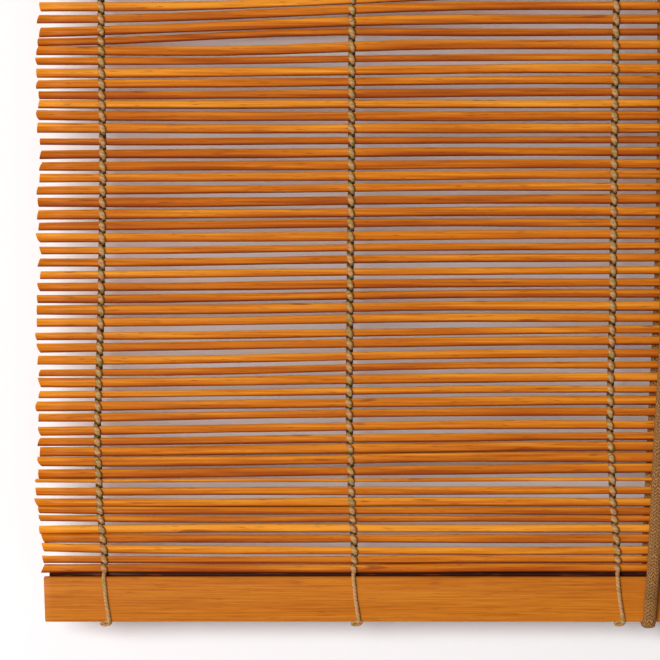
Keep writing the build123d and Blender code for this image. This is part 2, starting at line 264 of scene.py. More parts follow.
def slatLayout():  # one row of numbers a slat, from the rail up
    s = slatSizes
    lowest = railHigh[2] + s["lastSlatAboveRail"]
    highest = valanceTop - s["height"] / 2
    pitches = np.interp(np.arange(400), list(pitchAt), list(pitchAt.values()))
    z = lowest + np.concatenate([[0], np.cumsum(pitches)])
    z = z[z <= highest]
    far = np.maximum(np.arange(len(z)) - s["evenFrom"], 0)
    z = z + far * (highest - z[-1]) / far[-1]  # the last one ends under the top batten
    count = len(z)
    layout = {
        "z": z,
        "shift": draw.normal(0, s["placeSpread"], count),
        "drop": np.interp(z - railLow[2], list(leftDrop), list(leftDrop.values())),
        "dropAt": draw.uniform(*s["dropAt"], count),
        "dropOver": draw.uniform(*s["dropOver"], count),
        "thin": np.clip(draw.normal(1, s["heightSpread"], count), 0.84, 1.14),
        "end": draw.uniform(-1, 1, count) * s["endSpread"],
        "rightEnd": draw.uniform(-1, 1, count) * s["endSpread"],
        "slant": draw.normal(0, s["endSlant"], count),
        "point": np.abs(draw.normal(0, s["endPoint"], count)),
        "lean": draw.normal(0, s["leanSpread"], count),
        "tone": np.clip(draw.normal(0.5, s["toneSpread"], count), 0, 1),
        "phase": draw.uniform(0, 2 * np.pi, (count, 3)),
        "roll": draw.normal(0, s["rollSpread"], count),
    }
    layout["end"][:4] = s["lowestEnds"]
    for number, odd in oddSlats.items():
        for key, value in odd.items():
            layout[key][number] = value
    return layout


layout = slatLayout()


# Height of a slat's middle line at x: its place, less the drop that eases off to the right, plus
# two slow sine waves, 0.6 sin(x / 47) + 0.4 sin(x / 23), and a lean that decays from its free end.
def slatLine(x, pick=slice(None)):
    rows = {key: value[pick][:, None] for key, value in layout.items() if value.ndim == 1}
    phase = layout["phase"][pick]
    fade = 1 - ease((x - rows["dropAt"]) / rows["dropOver"] + 0.5)
    wave = np.sin(x / 47 + phase[:, :1]) * 0.6 + np.sin(x / 23 + phase[:, 1:2]) * 0.4
    lean = rows["lean"] * np.exp((railLow[0] - x) / slatSizes["leanOver"])
    return rows["z"] + rows["shift"] - rows["drop"] * fade + slatSizes["wave"] * wave + lean


# A slat is an oval carried along its middle line: y and z of the oval are its half depth and half
# height times cosine and sine, made a little fuller, turned slightly, and slowly swelling along x.
# Its ends are cut on a slant and come to a blunt point.
def slatRings(pick):
    s = slatSizes
    rows = {key: value[pick] for key, value in layout.items()}
    share = np.linspace(0, 1, s["steps"] + 1)
    left = railLow[0] - rows["end"][:, None]
    right = railHigh[0] - 0.5 - rows["rightEnd"][:, None]
    x = left + (right - left) * share ** 1.25  # closer steps at the left end, where slats bend more
    z = slatLine(x, pick)
    swell = 1 + 0.05 * np.sin(x / 31 + rows["phase"][:, 2:3]) + 0.03 * np.sin(x / 13 + rows["phase"][:, :1])
    turn = 2 * np.pi * (np.arange(s["sides"]) + 0.5) / s["sides"]
    c, n = power(np.cos(turn), 0.85), power(np.sin(turn), 0.85)
    dy = c * s["depth"] / 2 * np.ones_like(x)[..., None]
    dz = n * s["height"] / 2 * (rows["thin"][:, None] * swell)[..., None]
    roll = rows["roll"][:, None, None]
    y = matY + dy * np.cos(roll) - dz * np.sin(roll)
    cut = rows["slant"][:, None, None] * dz - rows["point"][:, None, None] * (s["height"] / 2 - np.abs(dz))
    cutX = cut * ((share == 0) * 1.0 - (share == 1) * 1.0)[:, None]
    points = np.stack([x[..., None] + cutX, y, z[..., None] + dy * np.sin(roll) + dz * np.cos(roll)], -1)
    return points * mm, x


# Noises stretched along the fibres: each has its grain's size in x, y and z, in millimetres, and
# its detail.
def bambooGrains(tree, grains):
    place = addNode(tree, "ShaderNodeTexCoord").outputs["Object"]
    noises = {}
    for part, (size, detail) in grains.items():
        mapped = addNode(tree, "ShaderNodeMapping", {"Vector": place, "Scale": [1 / (side * mm) for side in size]})
        noises[part] = addNode(tree, "ShaderNodeTexNoise", {"Vector": mapped, "Scale": 1.0, "Detail": detail})
    return noises


def bambooStick(name, dark, middle, light):
    # Split and drawn bamboo, dipped in stain and lacquered: long fibres give streaks, with short
    # dark dashes in open pores, and a satin shine. Each stick is painted lighter towards its top and
    # darker towards its lower edge, with a dark line along that edge: both are painted shade.
    # V is 0.2 on top of a stick, 0.45 in front and 0.7 below.
    material, tree = newMaterial(name)
    grain = bambooGrains(tree, {"streak": ((45, 1.6, 0.9), 3.0), "patch": ((90, 4, 4.8), 2.0),
                                "dash": ((7, 0.8, 0.4), 1.0), "knot": ((22, 4, 2.4), 1.0)})
    tone = addNode(tree, "ShaderNodeAttribute", attribute_name="tone")
    mixed = addNode(tree, "ShaderNodeMath", {0: grain["streak"], 1: 0.75, 2: -0.13}, operation="MULTIPLY_ADD")
    mixed = addNode(tree, "ShaderNodeMath", {0: grain["patch"], 1: 0.45, 2: mixed}, operation="MULTIPLY_ADD")
    mixed = addNode(tree, "ShaderNodeMath", {0: tone.outputs["Fac"], 1: 0.42, 2: mixed}, operation="MULTIPLY_ADD")
    around = addNode(tree, "ShaderNodeSeparateXYZ", {0: addNode(tree, "ShaderNodeUVMap", uv_map="UVMap")})
    fromLow = addNode(tree, "ShaderNodeMath", {0: around.outputs[1], 1: 0.7}, operation="SUBTRACT")
    fromLow = addNode(tree, "ShaderNodeMath", {0: fromLow, 1: 0.5}, operation="PINGPONG")
    # painted light and shade: adding fromLow paints each stick lighter towards its top and darker towards its lower
    # edge
    mixed = addNode(tree, "ShaderNodeMath", {0: fromLow, 1: 1.0, 2: mixed}, operation="MULTIPLY_ADD")
    mixed = addNode(tree, "ShaderNodeMath", {0: mixed, 1: 0.42}, operation="SUBTRACT")
    # painted shade: a dark line along each stick's lower edge
    paintedShadeLine = addNode(tree, "ShaderNodeMapRange", {"Value": fromLow, "From Min": 0.07, "From Max": 0.17,
                                                     "To Min": 0.9, "To Max": 0.0})
    ramp = addNode(tree, "ShaderNodeValToRGB", {"Fac": mixed}, stops=[(0.26, dark), (0.52, middle), (0.78, light)])
    dashMask = addNode(tree, "ShaderNodeMapRange", {"Value": grain["dash"], "From Min": 0.64, "From Max": 0.74,
                                                    "To Max": 0.6})
    withDash = addNode(tree, "ShaderNodeMix", {"Factor": dashMask, 6: ramp, 7: srgb("#7C3508")}, data_type="RGBA")
    knotMask = addNode(tree, "ShaderNodeMapRange", {"Value": grain["knot"], "From Min": 0.69, "From Max": 0.76,
                                                    "To Max": 0.65})
    colour = addNode(tree, "ShaderNodeMix", {"Factor": knotMask, 6: withDash.outputs[2],
                                             7: srgb("#8A3A0E")}, data_type="RGBA")
    colour = addNode(tree, "ShaderNodeMix", {"Factor": paintedShadeLine, 6: colour.outputs[2],
                                             7: srgb("#6A2404")}, data_type="RGBA")
    height = addNode(tree, "ShaderNodeMath", {0: grain["streak"], 1: dashMask}, operation="SUBTRACT")
    bump = addNode(tree, "ShaderNodeBump", {"Height": height, "Strength": 0.5, "Distance": 0.00012})
    rough = addNode(tree, "ShaderNodeMapRange", {"Value": grain["streak"], "To Min": 0.36, "To Max": 0.56})
    closeMaterial(tree, {"Base Color": colour.outputs[2], "Roughness": rough, "IOR": 1.48,
                         "Specular IOR Level": 0.15, "Normal": bump})
    return material


stickMaterial = bambooStick("stainedBambooSticks", "#A0480A", "#CD7010", "#F19C2C")


def makeSlats():
    for k, (above, below) in enumerate(hingeBodies):
        inPiece = (layout["z"] <= cuts[k]) & (layout["z"] > cuts[k + 1])
        rings, along = slatRings(inPiece)
        tone = layout["tone"][inPiece][:, None, None]
        piece = tubeRows(f"slatsBand{k:02d}", rings, along, {"tone": tone})
        piece.data.materials.append(stickMaterial)
        if k == len(hingeBodies) - 1:
            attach(piece, above)
        else:
            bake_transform(piece)
        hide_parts("valance_slats" if k == 0 else f"slats_{k:02d}")


makeSlats()
print("slats made:", len(layout["z"]))


twineSizes = {
    "frontOut": 1.75,  # from the mat's middle to a strand's middle where it crosses a slat
    "sideways": 0.6,
    "halfWidth": 0.8,
    "halfSwell": 0.5,
    "halfThick": 0.6,
    "perSlat": 6,
    "sides": 6,
    "plainHalfWidth": 0.82,
    "leanOnRail": 2.3,
    "hingeReach": 1.7,  # how far above and below the rail's hinge the twine bends
}
# sideways wander of three warp lines, by height above the rail's foot, used again for the others
twineWander = [
    {0: 3.0, 18: 1.4, 26: 1.8, 45: -0.2, 76: -1.2, 122: 0.2, 165: 0.9, 190: 1.0, 225: 0.4, 330: 0},
    {0: 0, 18: -2.0, 26: -1.3, 50: -2.6, 84: -3.6, 130: -3.2, 180: -2.6, 246: -2.4, 330: -1, 500: 0},
    {0: 1.8, 18: 0.4, 26: 0.9, 45: -1.0, 80: -2.4, 130: -1.2, 200: -0.5, 246: 0.3, 330: 0},
]


def warpLines():  # x of each warp line, from the knots in the frame
    node = frame["nodes"]["warp_knots_bottom"]
    co = np.zeros(len(node.data.vertices) * 3, np.float32)
    node.data.vertices.foreach_get("co", co)
    x = np.sort(co[::3]) / mm
    groups = np.split(x, np.where(np.diff(x) > 10)[0] + 1)
    return np.array([(g.min() + g.max()) / 2 for g in groups])


warpX = warpLines()


def wanderAt(line, z):
    points = twineWander[line % 3]
    return np.interp(z - railLow[2], list(points), list(points.values()))


def twineMaterial(name):
    # Two-ply cotton twine, dyed tan: plies about 0.8 mm wide slant round it, olive and reddish in
    # places, and dull. Painted shade darkens the grooves between plies and the places where it crosses between slats.
    material, tree = newMaterial(name)
    split = addNode(tree, "ShaderNodeSeparateXYZ", {0: addNode(tree, "ShaderNodeUVMap", uv_map="UVMap")})
    slant = addNode(tree, "ShaderNodeMath", {0: split, 1: 1.6}, operation="DIVIDE")
    slant = addNode(tree, "ShaderNodeMath", {0: split.outputs[1], 1: 2.0, 2: slant}, operation="MULTIPLY_ADD")
    ply = addNode(tree, "ShaderNodeMath", {0: slant, 1: 0.5}, operation="PINGPONG")
    place = addNode(tree, "ShaderNodeTexCoord").outputs["Object"]
    fuzz = addNode(tree, "ShaderNodeTexNoise", {"Vector": place, "Scale": 1 / 0.0005, "Detail": 3.0})
    patch = addNode(tree, "ShaderNodeTexNoise", {"Vector": place, "Scale": 1 / 0.0028, "Detail": 2.0})
    ramp = addNode(tree, "ShaderNodeValToRGB", {"Fac": patch},
                   stops=[(0.3, "#948238"), (0.42, "#B49058"), (0.54, "#CC9E68"), (0.66, "#C07E54")])
    depth = addNode(tree, "ShaderNodeMath", {0: fuzz, 1: 0.5, 2: ply}, operation="MULTIPLY_ADD")
    # painted shade: the grooves between plies, where depth is low, are painted darker
    shade = addNode(tree, "ShaderNodeMapRange", {"Value": depth, "From Min": 0.2, "From Max": 0.5,
                                                 "To Min": 0.5, "To Max": 0.0})
    colour = addNode(tree, "ShaderNodeMix", {"Factor": shade, 6: ramp, 7: srgb("#5A4018")}, data_type="RGBA")
    # painted shade where a strand crosses between slats
    paintedCrossingShade = addNode(tree, "ShaderNodeAttribute", attribute_name="paintedCrossingShade")
    colour = addNode(tree, "ShaderNodeMix", {"Factor": paintedCrossingShade.outputs["Fac"], 6: colour.outputs[2],
                                             7: srgb("#2A1206")}, data_type="RGBA")
    bump = addNode(tree, "ShaderNodeBump", {"Height": depth, "Strength": 0.8, "Distance": 0.0003})
    closeMaterial(tree, {"Base Color": colour.outputs[2], "Roughness": 0.9, "Specular IOR Level": 0.2,
                         "Normal": bump})
    return material


cottonTwine = twineMaterial("cottonTwine")


# The two strands of a warp line change sides at each gap. With t counting slats, a strand's depth
# is the front distance times cos(pi t), made fuller, and its place sideways is -sin(pi t), so each
# crossing of a slat leans the same way.
def twistedStrands(line, low, high):
    s = twineSizes
    t = np.arange(round(low * s["perSlat"]), round(high * s["perSlat"]) + 1) / s["perSlat"]
    x = warpX[line]
    slatZ = slatLine(np.array([[x]]))[:, 0]
    slatZ = np.concatenate([[slatZ[0] - 4.2], slatZ, [slatZ[-1] + 4]])
    z = np.interp(t, np.arange(len(slatZ)) - 1, slatZ)
    made = []
    for side in (1, -1):
        path = np.stack([
            x + wanderAt(line, z) - side * s["sideways"] * np.sin(np.pi * t),
            matY - side * s["frontOut"] * power(np.cos(np.pi * t), 0.6),
            z + 0 * t,
        ], -1) * mm
        wide = np.tile([1.0, 0.0, 0.0], (len(t), 1))
        halfWidth = (s["halfWidth"] + s["halfSwell"] * np.cos(np.pi * t) ** 2) * mm
        # painted shade, deepest where the strand crosses between slats
        paintedCrossingShade = 0.95 * (1 - np.abs(np.cos(np.pi * t))) ** 1.5
        made.append((ringsAlong(path, wide, halfWidth, s["halfThick"] * mm, s["sides"]), pathLength(path), paintedCrossingShade))
    return made


def makeTwine():
    s = twineSizes
    middles = layout["z"] + layout["shift"] - layout["drop"] * 0.5
    edges = [np.interp(cut, middles, np.arange(len(middles))) for cut in cuts]
    edges[0], edges[-1] = len(middles) - 0.5, -0.5
    edges = [round(edge * s["perSlat"]) / s["perSlat"] for edge in edges]
    for k, (above, below) in enumerate(hingeBodies):
        strands = [strand for line in range(len(warpX)) for strand in twistedStrands(line, edges[k + 1], edges[k])]
        rings, along, paintedCrossingShade = (np.array([strand[part] for strand in strands]) for part in range(3))
        piece = tubeRows(f"twineBand{k:02d}", rings, along, {"paintedCrossingShade": paintedCrossingShade[..., None]})
        piece.data.materials.append(cottonTwine)
        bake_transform(piece)
        if k == 0:
            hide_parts("warp_twine_front", "warp_twine_back")


makeTwine()
print("twine made")


# A plain strand: straight between its points, its steps 0.65 even and 0.35 eased into each corner.
def throughPoints(points, steps):
    points = np.array(points, float)
    share = np.linspace(0, len(points) - 1, steps)
    low = np.minimum(share.astype(int), len(points) - 2)
    part = ease(share - low)[:, None] * 0.35 + (share - low)[:, None] * 0.65
    return points[low] * (1 - part) + points[low + 1] * part


# A small knot: x, y and z follow sin u + 2 sin 2u, cos u - 2 cos 2u and -1.6 sin 3u, over 3.
def knotPath(middle, size, steps=40):
    u = np.linspace(0, 2 * np.pi, steps)
    shape = np.stack([np.sin(u) + 2 * np.sin(2 * u), np.cos(u) - 2 * np.cos(2 * u), -1.6 * np.sin(3 * u)], -1) / 3
    return np.array(middle) + shape * np.array(size)


def plainTube(name, paths, wide, halfWidth, halfThick, sides=8):
    rings = np.array([ringsAlong(p * mm, np.tile(np.array(wide, float), (len(p), 1)), halfWidth * mm,
                                 halfThick * mm, sides) for p in paths])
    return tubeRows(name, rings, np.array([pathLength(p * mm) for p in paths]))


# The end's loop under the rail: an oval ring in x and z, its two sides a little apart in depth.
def loopPath(middle, halfWide, halfHigh, steps=28):
    u = np.linspace(-0.2, 2 * np.pi + 0.5, steps)
    shape = np.stack([halfWide * np.cos(u), 0.16 * u, halfHigh * np.sin(u) + 0.2 * np.cos(u)], -1)
    return np.array(middle) + shape


def makeTwineEnds():
    s = twineSizes
    front, back = railLow[1] - 0.5, railHigh[1] + 0.55
    fronts, backs, tops, loops, knotsHigh = [], [], [], [], []
    firstZ = layout["z"][0]
    for line, x in enumerate(warpX):
        begin = x + wanderAt(line, railHigh[2])
        foot = begin + s["leanOnRail"]
        lowest = railLow[2] - 0.4
        fronts.append(throughPoints([(begin + 0.2, matY - 1.2, firstZ - 1.4), (begin + 0.1, front, railHigh[2] - 1.2),
                                     (begin * 0.6 + foot * 0.4, front, (lowest + railHigh[2]) / 2),
                                     (foot, front, lowest + 0.8), (foot + 0.1, front + 0.9, lowest - 0.5)], 21))
        backs.append(throughPoints([(begin - 0.3, matY + 1.2, firstZ - 1.4), (begin, back, railHigh[2] - 1.2),
                                    (begin, back, lowest + 0.8), (begin + 0.8, matY + 1, lowest - 0.8),
                                    (foot - 0.4, front + 1.4, lowest - 0.7)], 21))
        loops.append(loopPath((foot - 1.3 + 0.5 * (line % 2), front + 0.5, lowest - 0.5), 1.9, 0.75))
        topZ = layout["z"][-1]
        top = x + wanderAt(line, topZ)
        tops.append(throughPoints([(top, matY - 1.4, topZ + 1.2), (top, battenLow[1] - 0.55, battenLow[2] + 1),
                                   (top + 0.4, battenLow[1] - 0.55, battenHigh[2] - 1),
                                   (top + 0.4, battenLow[1] + 1.4, battenHigh[2] + 0.6)], 17))
        knotsHigh.append(knotPath((top + 0.4, matY, battenHigh[2] + 1.5), (2.2, 1.7, 1.1)))
    railStrands = plainTube("twineOverRail", fronts + backs, (1, 0, 0), s["plainHalfWidth"], 0.5)
    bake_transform(railStrands)
    lowKnots = plainTube("twineLoopsFoot", loops, (0, 1, 0), 0.55, 0.5)
    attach(lowKnots, "foot")
    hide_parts("warp_knots_bottom")
    topStrands = plainTube("twineOverBatten", tops, (1, 0, 0), s["plainHalfWidth"], 0.5)
    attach(topStrands, "head")
    highKnots = plainTube("twineKnotsHead", knotsHigh, (0.3, 0.2, 1), 0.52, 0.5)
    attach(highKnots, "head")
    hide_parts("warp_knots_top")
    for piece in (railStrands, lowKnots, topStrands, highKnots):
        piece.data.materials.append(cottonTwine)


makeTwineEnds()
print("twine ends and knots made")


railSizes = {"edge": 0.9, "cutBack": 2.6, "cutSlant": 0.6, "steps": 40, "sides": 24, "stripHalfHigh": 1.2,
             "stripHalfThick": 0.5}


def bambooBatten(name, dark, middle, light):
    # A planed bamboo batten, stained and lacquered: straight fine fibre lines, slow drifts of tone
    # and short dark dashes in open pores, satin.
    material, tree = newMaterial(name)
    grain = bambooGrains(tree, {"streak": ((35, 2, 0.6), 4.0), "drift": ((160, 6, 7), 2.0),
                                "dash": ((11, 1, 0.45), 1.0)})
    mixed = addNode(tree, "ShaderNodeMath", {0: grain["streak"], 1: 0.75}, operation="MULTIPLY")
    mixed = addNode(tree, "ShaderNodeMath", {0: grain["drift"], 1: 0.35, 2: mixed}, operation="MULTIPLY_ADD")
    ramp = addNode(tree, "ShaderNodeValToRGB", {"Fac": mixed}, stops=[(0.4, dark), (0.55, middle), (0.7, light)])
    dashMask = addNode(tree, "ShaderNodeMapRange", {"Value": grain["dash"], "From Min": 0.62, "From Max": 0.7,
                                                    "To Max": 0.55})
    colour = addNode(tree, "ShaderNodeMix", {"Factor": dashMask, 6: ramp, 7: srgb("#8E440E")}, data_type="RGBA")
    height = addNode(tree, "ShaderNodeMath", {0: grain["streak"], 1: dashMask}, operation="SUBTRACT")
    bump = addNode(tree, "ShaderNodeBump", {"Height": height, "Strength": 0.35, "Distance": 0.0001})
    rough = addNode(tree, "ShaderNodeMapRange", {"Value": grain["streak"], "To Min": 0.38, "To Max": 0.55})
    closeMaterial(tree, {"Base Color": colour.outputs[2], "Roughness": rough, "IOR": 1.48,
                         "Specular IOR Level": 0.15, "Normal": bump})
    return material


battenMaterial = bambooBatten("stainedBambooBatten", "#AC5B0E", "#C36E13", "#CF7D1D")
# painted shade: the strip's near-black colours stand in for the shadow in the gap over the rail
shadeStripMaterial = bambooBatten("paintedShadeStrip", "#260803", "#320C04", "#3E1206")


# The rail is a rectangle with quarter circles for corners, carried along x: the rings next to each
# end shrink to round its edge, and a slow sine wave bows it by 0.08 mm.
def makeRail():
    s = railSizes
    halfY, halfZ = (railHigh[1] - railLow[1]) / 2, (railHigh[2] - railLow[2]) / 2 - 0.2
    middleZ = (railHigh[2] + railLow[2]) / 2 - 0.5
    quarter = np.linspace(0, np.pi / 2, s["sides"] // 4)
    turn = np.concatenate([quarter + np.pi / 2 * k for k in range(4)])
    signY = np.repeat([1, -1, -1, 1], len(quarter))
    signZ = np.repeat([1, 1, -1, -1], len(quarter))
    y = signY * (halfY - s["edge"]) + s["edge"] * np.cos(turn)
    z = signZ * (halfZ - s["edge"]) + s["edge"] * np.sin(turn)
    left, right = railLow[0] + s["cutBack"], railHigh[0] - 1
    x = np.concatenate([[left, left + 0.12, left + 0.4], np.linspace(left + 3, right - 3, s["steps"]),
                        [right - 0.4, right - 0.12, right]])
    shrink = np.concatenate([[0.4, 0.12, 0], np.zeros(s["steps"]), [0, 0.12, 0.4]])[:, None]
    slantX = -s["cutSlant"] * z / (2 * halfZ) * (np.abs(x - left) < 1)[:, None]
    bow = 0.08 * np.sin(x / 71)[:, None]
    ringY = matY + y * (1 - shrink / halfY)
    ringZ = middleZ + z * (1 - shrink / halfZ) + bow
    points = np.stack([x[:, None] + slantX, ringY, ringZ], -1)[None] * mm
    piece = tubeRows("bottomBatten", points, x[None])
    piece.data.materials.append(battenMaterial)
    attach(piece, "foot")
    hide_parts("bottom_rail")


# A thin near-black strip lies in the gap over the rail as painted shade for that gap, set back
# from both faces: an oval carried along x, with a slow sine wave of 0.1 mm in its height.
def makeShadeStrip():
    x = np.linspace(railLow[0] + 4.4, railHigh[0] - 4, 24)
    path = np.stack([x, np.full_like(x, matY + 0.6), railHigh[2] - 0.1 + 0.1 * np.sin(x / 40)], -1)
    piece = plainTube("shadeStripPiece", [path], (0, 0, 1), railSizes["stripHalfHigh"], railSizes["stripHalfThick"])
    piece.data.materials.append(shadeStripMaterial)
    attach(piece, "foot")


makeRail()
makeShadeStrip()
print("rails made")


cordSizes = {
    "halfWidth": 2.65,
    "halfThick": 1.2,
    "grooveHalfWidth": 1.75,  # the braid closes up where it runs in a pulley's groove
    "grooveHalfThick": 1.4,
    "sides": 16,
    "turnRadius": 2.7,
    "linkLength": 38.0,  # from the pulleys' axis down to the top of the front runs
    "wheelReach": 12.0,  # the links keep still down to here, clear of the wheels
    "raised": 996.0,  # how far the rail's turn rises when the mat is rolled up
}
# sideways lean of the left cord's front and back runs, by height above the rail's foot
frontLean = {0: -6.8, 18: -5.2, 34: -4.3, 73: -2.4, 113: 0.0, 170: 0.0}
backLean = {0: -6.8, 18: -6.4, 34: -6.0, 60: -4.8, 130: -1.4, 200: 0.0}


def braidMaterial(name):
    # Flat braided cotton cord: strands cross in eight columns of small chevrons on each face, each
    # strand a rounded ridge about 0.6 mm wide with a furrow beside it; matt. Its colour follows the
    # same height: painted shade in the furrows and painted highlights on the ridges.
    material, tree = newMaterial(name)
    place = addNode(tree, "ShaderNodeTexCoord").outputs["Object"]
    stray = addNode(tree, "ShaderNodeTexNoise", {"Vector": place, "Scale": 1 / 0.0022, "Detail": 1.0})
    split = addNode(tree, "ShaderNodeSeparateXYZ", {0: addNode(tree, "ShaderNodeUVMap", uv_map="UVMap")})
    column = addNode(tree, "ShaderNodeMath", {0: split.outputs[1], 1: 16.0}, operation="MULTIPLY")
    zigzag = addNode(tree, "ShaderNodeMath", {0: column, 1: 1.0}, operation="PINGPONG")
    # one chevron each 1.35 mm
    along = addNode(tree, "ShaderNodeMath", {0: split, 1: 1.35}, operation="DIVIDE")
    slope = addNode(tree, "ShaderNodeMath", {0: zigzag, 1: 0.8, 2: along}, operation="MULTIPLY_ADD")
    slope = addNode(tree, "ShaderNodeMath", {0: stray, 1: 1.6, 2: slope}, operation="MULTIPLY_ADD")
    ridge = addNode(tree, "ShaderNodeMath", {0: slope, 1: 0.5}, operation="PINGPONG")
    furrow = addNode(tree, "ShaderNodeMath", {0: zigzag, 1: 0.5}, operation="PINGPONG")
    fuzz = addNode(tree, "ShaderNodeTexNoise", {"Vector": place, "Scale": 1 / 0.0004, "Detail": 3.0})
    patch = addNode(tree, "ShaderNodeTexNoise", {"Vector": place, "Scale": 1 / 0.006, "Detail": 2.0})
    height = addNode(tree, "ShaderNodeMath", {0: furrow, 1: 0.3, 2: ridge}, operation="MULTIPLY_ADD")
    height = addNode(tree, "ShaderNodeMath", {0: fuzz, 1: 0.5, 2: height}, operation="MULTIPLY_ADD")
    # painted shade in the low furrows, painted highlights on the high ridges
    ramp = addNode(tree, "ShaderNodeValToRGB", {"Fac": height},
                   stops=[(0.3, "#5E3416"), (0.46, "#86552C"), (0.64, "#A0703E"), (0.86, "#C79462")])
    warm = addNode(tree, "ShaderNodeMapRange", {"Value": patch, "From Min": 0.4, "From Max": 0.65,
                                                "To Min": 0.0, "To Max": 0.35})
    colour = addNode(tree, "ShaderNodeMix", {"Factor": warm, 6: ramp, 7: srgb("#8A6A34")}, data_type="RGBA")
    bump = addNode(tree, "ShaderNodeBump", {"Height": height, "Strength": 1.0, "Distance": 0.0005})
    closeMaterial(tree, {"Base Color": colour.outputs[2], "Roughness": 0.85, "Specular IOR Level": 0.2,
                         "Normal": bump})
    return material


braid = braidMaterial("braidedCottonCord")


def cordPlaces():  # x of the two lift cords, and their radius, from the frame
    low, high = boxOf("lift_cord_front_runs")
    overLow, overHigh = boxOf("lift_cord_over_right")
    radius = (overHigh[1] - overLow[1]) / 2
    return (low[0] + radius, high[0] - radius), radius


(leftCord, rightCord), cordRadius = cordPlaces()
_, backTopY, anchorTop = boxOf("lift_cord_back_runs")[1] - (0, cordRadius, 0)
turnLow = boxOf("lift_cord_turns_back")[0][2] + cordRadius
_, backY, turnTop = boxOf("lift_cord_turns_back")[1] - (0, cordRadius, 0)
frontY = boxOf("lift_cord_turns_front")[0][1] + cordRadius
wheelPlace, doublePlace, outerPlace, rollerPlace = (
    sum(boxOf(node)) / 2
    for node in ("pulley_wheel_left", "pulley_wheel_right", "pulley_wheel_outer", "lock_guide_roller"))
wheelY, outerY = wheelPlace[1], outerPlace[1]


def leanAt(table, z, cord):  # the right cord leans the other way, and less
    return np.interp(z - railLow[2], list(table), list(table.values())) * (1.0 if cord == leftCord else -0.35)


def ribbon(name, paths, wides, halfWidths, halfThicks, begins=(0, 0)):  # begins: braid length before each path
    s = cordSizes
    rings = np.array([ringsAlong(p * mm, w, a * mm, b * mm, s["sides"], 0.85)
                      for p, w, a, b in zip(paths, wides, halfWidths, halfThicks)])
    piece = tubeRows(name, rings, np.array([pathLength(p * mm) + begin for p, begin in zip(paths, begins)]))
    piece.data.materials.append(braid)
    return piece


def wideAlongX(count):
    return np.tile([1.0, 0.0, 0.0], (count, 1))


# Each cord goes straight down the back, turns under the rail by two quarter circles with a flat
# stretch between them, and goes straight up in front to the link.
def makeLiftCords():
    s = cordSizes
    backs, fronts, turns = [], [], []
    linkZ = -s["linkLength"]
    steps = 120
    share = np.linspace(0, 1, steps)
    for cord in (leftCord, rightCord):
        z = anchorTop + (turnTop - anchorTop) * share
        backs.append(np.stack([cord + leanAt(backLean, z, cord), backTopY + (backY - backTopY) * share, z], -1))
        z = turnTop + (linkZ - turnTop) * share
        fronts.append(np.stack([cord + leanAt(frontLean, z, cord), frontY + (wheelY - frontY) * share, z], -1))
        radius = s["turnRadius"]
        down = np.linspace(turnTop, turnLow + radius, 5)[:-1]
        arc = np.linspace(0, np.pi / 2, 9)
        flat = np.linspace(backY - radius, frontY + radius, 30)[1:-1]
        y = np.concatenate([np.full(4, backY), backY - radius + radius * np.cos(arc), flat,
                            frontY + radius - radius * np.sin(arc), np.full(4, frontY)])
        z = np.concatenate([down, turnLow + radius - radius * np.sin(arc), np.full(28, turnLow),
                            turnLow + radius - radius * np.cos(arc), down[::-1]])
        x = np.where(y > matY, leanAt(backLean, z, cord), leanAt(frontLean, z, cord)) + cord
        turns.append(np.stack([x, y, z], -1))
    flatCord = [s["halfWidth"]] * 2, [s["halfThick"]] * 2
    turnBegins = [pathLength(path * mm)[-1] for path in backs]
    frontBegins = [begin + pathLength(path * mm)[-1] for begin, path in zip(turnBegins, turns)]
    back = ribbon("liftCordBack", backs, [wideAlongX(steps)] * 2, *flatCord)
    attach(back, "head")
    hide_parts("lift_cord_back_runs")
    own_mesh(back)
    front = ribbon("liftCordFront", fronts, [wideAlongX(steps)] * 2, *flatCord, frontBegins)
    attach(front, "front_run")
    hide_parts("lift_cord_front_runs")
    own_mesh(front)
    turn = ribbon("liftCordTurns", turns, [wideAlongX(len(turns[0]))] * 2, *flatCord, turnBegins)
    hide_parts("lift_cord_turns_back", "lift_cord_turns_front")
    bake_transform(turn)


